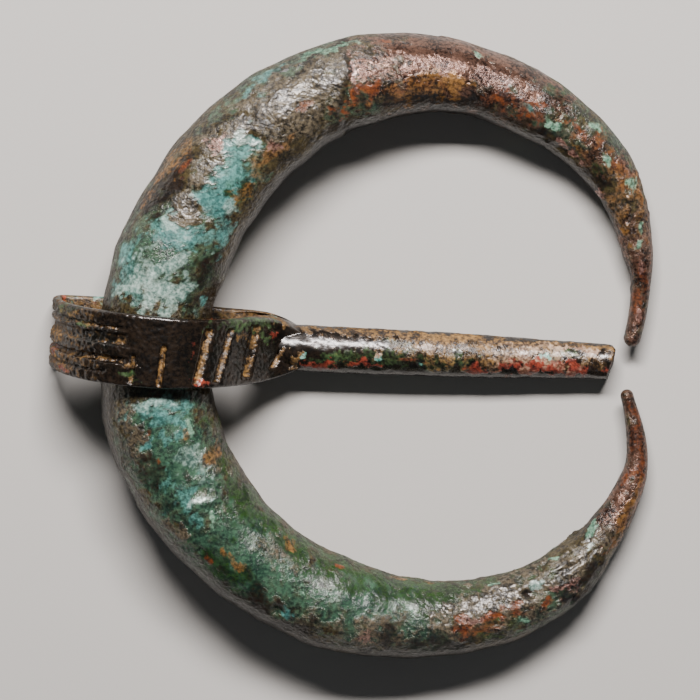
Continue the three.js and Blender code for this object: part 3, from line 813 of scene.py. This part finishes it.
# Across it: middle x, distance of its upper end from the rim, length, width, slant.
NOTCHES = [(-1.3, 3.2, 2.3, 0.5, 3), (0.98, 2.2, 3.4, 0.55, 4), (4.15, 0.8, 4.4, 0.74, 9),
           (5.75, 0.8, 4.3, 0.66, 12), (7.85, 0.75, 4.1, 0.84, 8), (10.0, 2.4, 1.9, 0.5, 28)]
NOTCH_DEPTH = 0.36
RIM_WANDER, CUT_WANDER = 0.1, 0.06        # how far the graver strayed, in mm


def cuts(x, y, clouds):
    """Depth of the ornament at a place on the front wall, in mm; clouds make it uneven."""
    rim = HEAD_WIDTH / 2 - y + RIM_WANDER * clouds
    depth = np.zeros(len(x))
    for from_rim, width, deepest, end in GROOVES:
        side_way = np.abs(rim - from_rim) / (width / 2)
        cut = deepest * (1 - smooth(0.45, 1.1, side_way)) * (1 - smooth(end - 1.2, end, x))
        depth = np.maximum(depth, cut)
    for middle, from_rim, length, width, slant in NOTCHES:
        down = rim - from_rim
        line = middle + (length / 2 - down) * math.tan(math.radians(slant))
        side_way = np.abs(x - line + CUT_WANDER * clouds) / (width / 2)
        ends = smooth(-0.15, 0.25, down) * (1 - smooth(length - 0.2, length + 0.2, down))
        depth = np.maximum(depth, NOTCH_DEPTH * (1 - smooth(0.35, 1.15, side_way)) * ends)
    return depth


clouds = noise_at(np.c_[side, head_y], 0.7, 3, 2)
cut_depth = np.where(on_arch, cuts(side[:, 0], head_y, clouds), 0) * (1 - deep)
rough = noise_at(np.c_[side, head_y], 0.35, 4, 2)
ribbed = 1 - smooth(-4.5, -0.5, side[:, 0])
lift = (0.035 + 0.06 * ribbed) * rough * np.where(on_arch, 1 - deep, 0)
moved = side + into * (cut_depth - lift)[:, None]
head_points = np.c_[moved[:, 0], head_y, moved[:, 1]]
print("deepest cut", cut_depth.max().round(2), "mm")

# %% [markdown]
# ## Shaft and break
# The shaft is a round tapering bar, dented by hand work. It didn't wear to a tip but broke,
# so its end is two torn faces with a rough crystalline grain, not a flat cut.

# %% Shaft and break
SHAFT_AROUND, SHAFT_ROWS, BREAK_ROWS = 84, 300, 14


def shaft_line(x):
    """How far to the side the shaft's middle is at x."""
    return SHAFT_Y - (x - SHAFT_START) * math.tan(SHAFT_TURN)


def break_face(y, z):
    """Where the shaft breaks off: two torn faces that meet in a far corner."""
    # Each face: how far short of the end, a point y and z on it, its swing and nod in degrees.
    torn = [(0.1, 0.9, 2.4, 24, 14), (0.95, -1.4, 1.6, -18, -10)]
    faces = [SHAFT_END - short - math.tan(math.radians(swing)) * (y - y0)
             + math.tan(math.radians(nod)) / math.cos(math.radians(swing)) * (z - z0)
             for short, y0, z0, swing, nod in torn]
    return np.minimum(*faces)


shaft_mesh, cell = grid_mesh("pin shaft", SHAFT_ROWS + BREAK_ROWS + 1, SHAFT_AROUND)
row = np.rint(cell[:, 0] * (SHAFT_ROWS + BREAK_ROWS + 1)).astype(int)
turn = cell[:, 1] * 2 * math.pi
on_skin = (row > 0) & (row <= SHAFT_ROWS)
t = np.clip((row - 1) / (SHAFT_ROWS - 1), 0, 1)
x = SHAFT_START + t * (SHAFT_END - SHAFT_START)
shaft_r = through(SHAFT_TAPER, x) / 2
over_break = 1 - (row - SHAFT_ROWS) / (BREAK_ROWS + 1)
inwards = np.where(on_skin, 1.0, np.where(row == 0, 0.0, over_break))
y, z = shaft_r * inwards * np.cos(turn), shaft_r * (1 + inwards * np.sin(turn))
end_x = break_face(y, z)
x = np.where(row == 0, SHAFT_START, SHAFT_START + t * (end_x - SHAFT_START))
skin = np.c_[x, y, z]
dents = noise_at(skin, 1.6, 6, 2) * 0.05 + noise_at(skin, 0.4, 7, 2) * 0.02
torn = noise_at(skin * [0.2, 1, 1], 0.5, 8, 3) * 0.16 + noise_at(skin, 0.22, 9, 2) * 0.06
at_break = smooth(SHAFT_ROWS - 6, SHAFT_ROWS + 1, row)
keep_flat = 1 - smooth(-0.6, -0.95, np.sin(turn))
lift = np.where(on_skin, dents * keep_flat, 0)
y += np.cos(turn) * lift
z += np.sin(turn) * lift
x = x - np.abs(torn) * at_break
shaft_points = np.c_[x, y + shaft_line(x), z]
print("shaft", len(shaft_points), "vertices")

# %% [markdown]
# ## One piece of metal
# Head and shaft were forged from one bar. A Boolean union makes one closed skin of the two
# meshes; the exact solver is chosen because their walls meet at a flat angle.

# %% Join head and shaft


def turn_plan(points, angle):
    """Turns points clockwise in plan, seen from above."""
    c, s = math.cos(angle), math.sin(angle)
    x, y, z = points.T
    return np.c_[x * c + y * s, y * c - x * s, z]


PIVOT = np.array(frame["joints"][0]["pos_m"]) / MM
PIN_SHIFT = np.array([PIVOT[0], PIVOT[1] - HEAD_Y, 0.0])
head_points = turn_plan(head_points, HEAD_TURN) + [0, HEAD_Y, 0]
close_up(head_mesh, head_points + PIN_SHIFT)
close_up(shaft_mesh, shaft_points + PIN_SHIFT)
pin = put("pin_bronze", head_mesh)
shaft = put("pin_shaft", shaft_mesh)
weld = pin.modifiers.new("weld", "BOOLEAN")
weld.operation = "UNION"
weld.object = shaft
weld.solver = "EXACT"
evaluated = pin.evaluated_get(bpy.context.evaluated_depsgraph_get())
pin_mesh = bpy.data.meshes.new_from_object(evaluated)
pin.modifiers.clear()
pin.data = pin_mesh
bpy.data.objects.remove(shaft)
for face in pin_mesh.polygons:
    face.use_smooth = True
edges = bmesh.new()
edges.from_mesh(pin_mesh)
open_edges = sum(not e.is_manifold for e in edges.edges)
edges.free()
print("pin", len(pin_mesh.vertices), "vertices,", open_edges, "open edges")

# %% [markdown]
# ## The pin's surface
# The pin is darker and smoother than the hoop: brown-black bronze, rubbed bright on its
# edges, with tan earth left in the cuts and on the side of the shaft, and red oxide where
# the skin flaked off.

# %% Patches of the pin
# On the head: x, distance from the upper rim, length, width, strength, turn.
HEAD_PATCHES = {
    # black: painted shade beside the notches and along the widest groove.
    "black_and_shade": [(-5.0, 2.1, 7, 1.2, 0.9), (3.4, 3.4, 0.7, 4, 0.8, -9), (5.1, 3.2, 0.7, 4, 0.8, -11),
              (6.9, 3.4, 0.9, 4, 0.9, -9), (9.2, 3.6, 1.2, 3, 0.8, -12),
              (-2.4, 4.4, 2.4, 0.8, 0.7, 10)],
    "tint": [(7.4, 0.5, 5.0, 1.1, 1.0), (-7.2, 0.5, 1.8, 0.9, 0.9), (-1.6, 4.9, 1.6, 0.7, 0.8),
             (8.9, 1.2, 1.4, 1.4, 0.7), (-5.5, 1.3, 0.8, 0.4, 0.8)],
    "soil": [(-6.6, 0.7, 1.4, 0.5, 0.7), (-7.9, 2.6, 1.4, 1.0, 0.7), (-7.4, 4.5, 2.0, 0.8, 0.8),
             (7.0, 1.5, 0.9, 0.7, 0.9), (10.3, 0.4, 0.9, 0.8, 1.1), (-1.6, 4.0, 1.4, 0.4, 0.7)],
    "red": [(4.3, 5.1, 1.3, 0.6, 1.2), (3.3, 2.6, 0.4, 1.4, 0.6), (9.5, 1.7, 0.4, 0.35, 0.9),
            (-8.0, 3.9, 1.0, 1.0, 0.6), (-7.0, 5.2, 1.4, 0.5, 0.5), (3.2, 1.9, 0.3, 0.3, 0.8)],
}
# On the shaft: x, degrees round it (0 faces the upper arm, 90 up), and the same again.
SHAFT_PATCHES = {
    # black: the long bands at 142 to 148 degrees are painted shade on the shaft's side turned from
    # the lamp.
    "black_and_shade": [(14, 100, 8, 2.0, 0.3), (16, 142, 14, 2.0, 0.8), (26, 148, 14, 1.6, 0.6),
              (12.5, 112, 2, 1, 0.5)],
    "tint": [(19, 104, 16, 1.6, 0.4), (14.3, 98, 3.4, 1.0, 0.8), (24.4, 100, 2.6, 0.9, 0.7),
             (19.5, 60, 3, 0.7, 0.4), (33.0, 70, 3, 0.7, 0.6)],
    "soil": [(18, 26, 7, 0.5, 0.9), (22.4, 46, 4.4, 1.4, 1.0), (28, 38, 11, 1.5, 1.1),
             (34, 40, 8, 1.2, 1.0), (20, 22, 18, 1.0, 0.9), (27, 64, 22, 2.6, 0.4),
             (23.2, 96, 1.4, 0.8, 0.8), (28.6, 92, 2.8, 1.2, 0.7), (11.2, 112, 0.7, 2.0, 0.8, 18),
             (36.6, 60, 1.4, 1.6, 0.6), (22.6, 128, 0.7, 0.5, 0.9), (31, 100, 7, 0.7, 0.6),
             (25.6, 124, 2.6, 0.9, 0.6)],
    "cream": [(30.5, 80, 8, 2.6, 0.36), (29.8, 80, 2.0, 1.2, 0.9), (32.6, 46, 2.2, 0.8, 1.0),
              (34.2, 44, 0.7, 0.6, 1.1), (35.1, 54, 0.8, 0.6, 1.1), (17.9, 94, 0.4, 0.5, 1.1),
              (22.0, 66, 2.4, 0.5, 0.5)],
    "red": [(13.4, 127, 2.6, 0.9, 1.2), (16.1, 116, 1.6, 0.7, 1.0), (17.1, 122, 1.0, 0.6, 1.1),
            (17.9, 121, 0.6, 0.5, 1.0), (12.0, 130, 0.6, 0.4, 1.0), (26.0, 124, 2.2, 0.9, 1.1),
            (30.6, 116, 6.6, 1.1, 1.2), (33.6, 118, 2.2, 1.3, 1.2), (32.2, 92, 1.8, 0.6, 1.0),
            (20.4, 102, 2.4, 0.5, 0.5), (36.4, 110, 1.0, 0.8, 0.6), (28.2, 112, 1.4, 0.7, 1.1)],
    "turquoise": [(11.7, 106, 0.7, 0.5, 1.1), (18.0, 100, 0.5, 0.4, 0.9), (31.3, 78, 1.4, 0.5, 0.7),
                  (21.4, 112, 0.4, 0.4, 0.8)],
}
PIN_CLOUDS = {"black_and_shade": 0.2, "tint": 0.35, "soil": 0.3, "cream": 0.6, "red": 0.42,
              "turquoise": 0.6}
print("pin patches", {layer: len(patches) for layer, patches in SHAFT_PATCHES.items()})

# %% [markdown]
# ## Where a place is on the pin
# The union gave the vertices a new order, so each one is found again by its place: how far
# along the head and from its rim, or how far along the shaft and round it.

# %% Places on the pin
count = len(pin_mesh.vertices)
pin_place = places(pin_mesh) / MM - PIN_SHIFT
c, s = math.cos(HEAD_TURN), math.sin(HEAD_TURN)
head_u = pin_place[:, 0] * c - (pin_place[:, 1] - HEAD_Y) * s
head_v = (pin_place[:, 1] - HEAD_Y) * c + pin_place[:, 0] * s
height = pin_place[:, 2]
from_outer = np.empty(count)
CHUNK = 4000                              # so many vertices at a time, to spare memory
for start in range(0, count, CHUNK):
    chunk = np.c_[head_u, height][start:start + CHUNK]
    gap = np.linalg.norm(chunk[:, None] - outer[None, :ARCH_ROWS], axis=2)
    from_outer[start:start + CHUNK] = gap.min(1)
on_face = 1 - smooth(0.45, 0.62, from_outer)
is_head = 1 - smooth(10.3, 10.9, pin_place[:, 0])
from_rim = HEAD_WIDTH / 2 - head_v
shaft_across = pin_place[:, 1] - shaft_line(pin_place[:, 0])
shaft_radius = through(SHAFT_TAPER, pin_place[:, 0]) / 2
shaft_deg = np.degrees(np.arctan2(height - shaft_radius, shaft_across))
print("front wall", int(on_face.sum()), "of", count, "vertices")

# %% [markdown]
# ## Layers on the pin
# They are laid as on the hoop. Earth also stays in every cut of the ornament, between the
# ribs and inside the loop, where no cloth rubbed it off.

# %% Layers on the pin
pin_clouds = ragged_clouds(pin_place, 1.0, 41)
wobble = noise_at(pin_place, 0.7, 3, 2) * 0.3
carved = smooth(0.13, 0.28, cuts(head_u, head_v, wobble)) * on_face
shaft_hidden = smooth(0.0, -0.5, (height - shaft_radius) / shaft_radius)
hidden_side = np.where(is_head > 0.5, 1 - on_face, shaft_hidden)
for number, layer in enumerate(PIN_CLOUDS):
    mask = np.zeros(count)
    for x_at, rim_at, length, width, strength, *turn in HEAD_PATCHES.get(layer, []):
        patch = oval(head_u - x_at, from_rim - rim_at, length, width, pin_clouds, *turn)
        mask = np.maximum(mask, strength * patch * on_face * is_head)
    patches = SHAFT_PATCHES.get(layer, [])
    on_shaft = cover(patches, pin_place[:, 0], shaft_deg, shaft_radius, pin_clouds)
    mask = np.maximum(mask, on_shaft * (1 - is_head))
    drift = noise_at(pin_place, 2.2, 60 + number, 3)
    drift += 0.2 * pin_clouds[2]
    hidden = smooth(PIN_CLOUDS[layer] - 0.1, PIN_CLOUDS[layer] + 0.4, drift)
    mask = np.maximum(mask, 0.65 * hidden_side * hidden)
    if layer == "soil":
        dry = 0.55 + 0.4 * pin_clouds[2]
        clean = 0.8 * oval(head_u + 4.6, from_rim - 2.1, 7.5, 1.3, pin_clouds * 0.3)
        mask = np.maximum(mask, carved * dry * is_head * (1 - clean))
        ribs = (1 - smooth(-6.5, -2.5, head_u)) * on_face
        mask = np.maximum(mask, 0.17 * ribs * (1 + 1.4 * pin_clouds[2]))
        inside = is_head * (1 - on_face) * smooth(0.4, 0.7, height)
        mask = np.maximum(mask, 0.5 * inside)
    pin_mesh.attributes.new(layer, "FLOAT", "POINT").data.foreach_set("value", mask)
print("pin layers on", count, "vertices")

# %% [markdown]
# ## Finish of the pin
# The same patina builder lays the pin's layers over a darker and smoother base. Soil comes
# after the salts because it fills the cuts on top of them.

# %% The pin's finish
PIN_BASE = ("#0A0705", "#2D231A", 0.28, 0.45, 0.35)
PIN_LAYERS = [
    # The black layer is near-black, laid mostly as painted shade beside the notches, in the widest
    # groove and along the shaft's side turned from the lamp.
    ("black_and_shade", "#050604", "#171711", 0.28, 0.3, 0.35, 0.6),     # near-black in the hollows
    ("tint", "#152211", "#445E36", 0.4, 0.1, 0.5, 0.6),        # thin green salts
    ("soil", "#2E1D0C", "#94703D", 0.7, 0.0, 1.0, 0.6),        # dry tan earth
    ("red", "#45120C", "#95402E", 0.38, 0.1, 0.6, 0.4),        # vermilion cuprite
    ("cream", "#795840", "#C2A88F", 0.5, 0.0, 0.6, 0.5),       # pale clay
    ("turquoise", "#25695E", "#86B4A4", 0.5, 0.0, 0.4, 0.22),  # specks of blue-green salts
]
# Smooth dark bronze, rubbed in use: nearly black, with a clear narrow shine.
PIN_BUMP, PIN_WAX = 0.06, 0.7
pin_mesh.materials.clear()
pin_finish = patina("dark bronze, rubbed and waxed", PIN_BASE, PIN_LAYERS, PIN_BUMP, PIN_WAX)
pin_mesh.materials.append(pin_finish)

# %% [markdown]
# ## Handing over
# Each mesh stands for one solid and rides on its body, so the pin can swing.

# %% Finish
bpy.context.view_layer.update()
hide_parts("hoop")
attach(hoop, "hoop")
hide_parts("pin")
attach(pin, "pin")
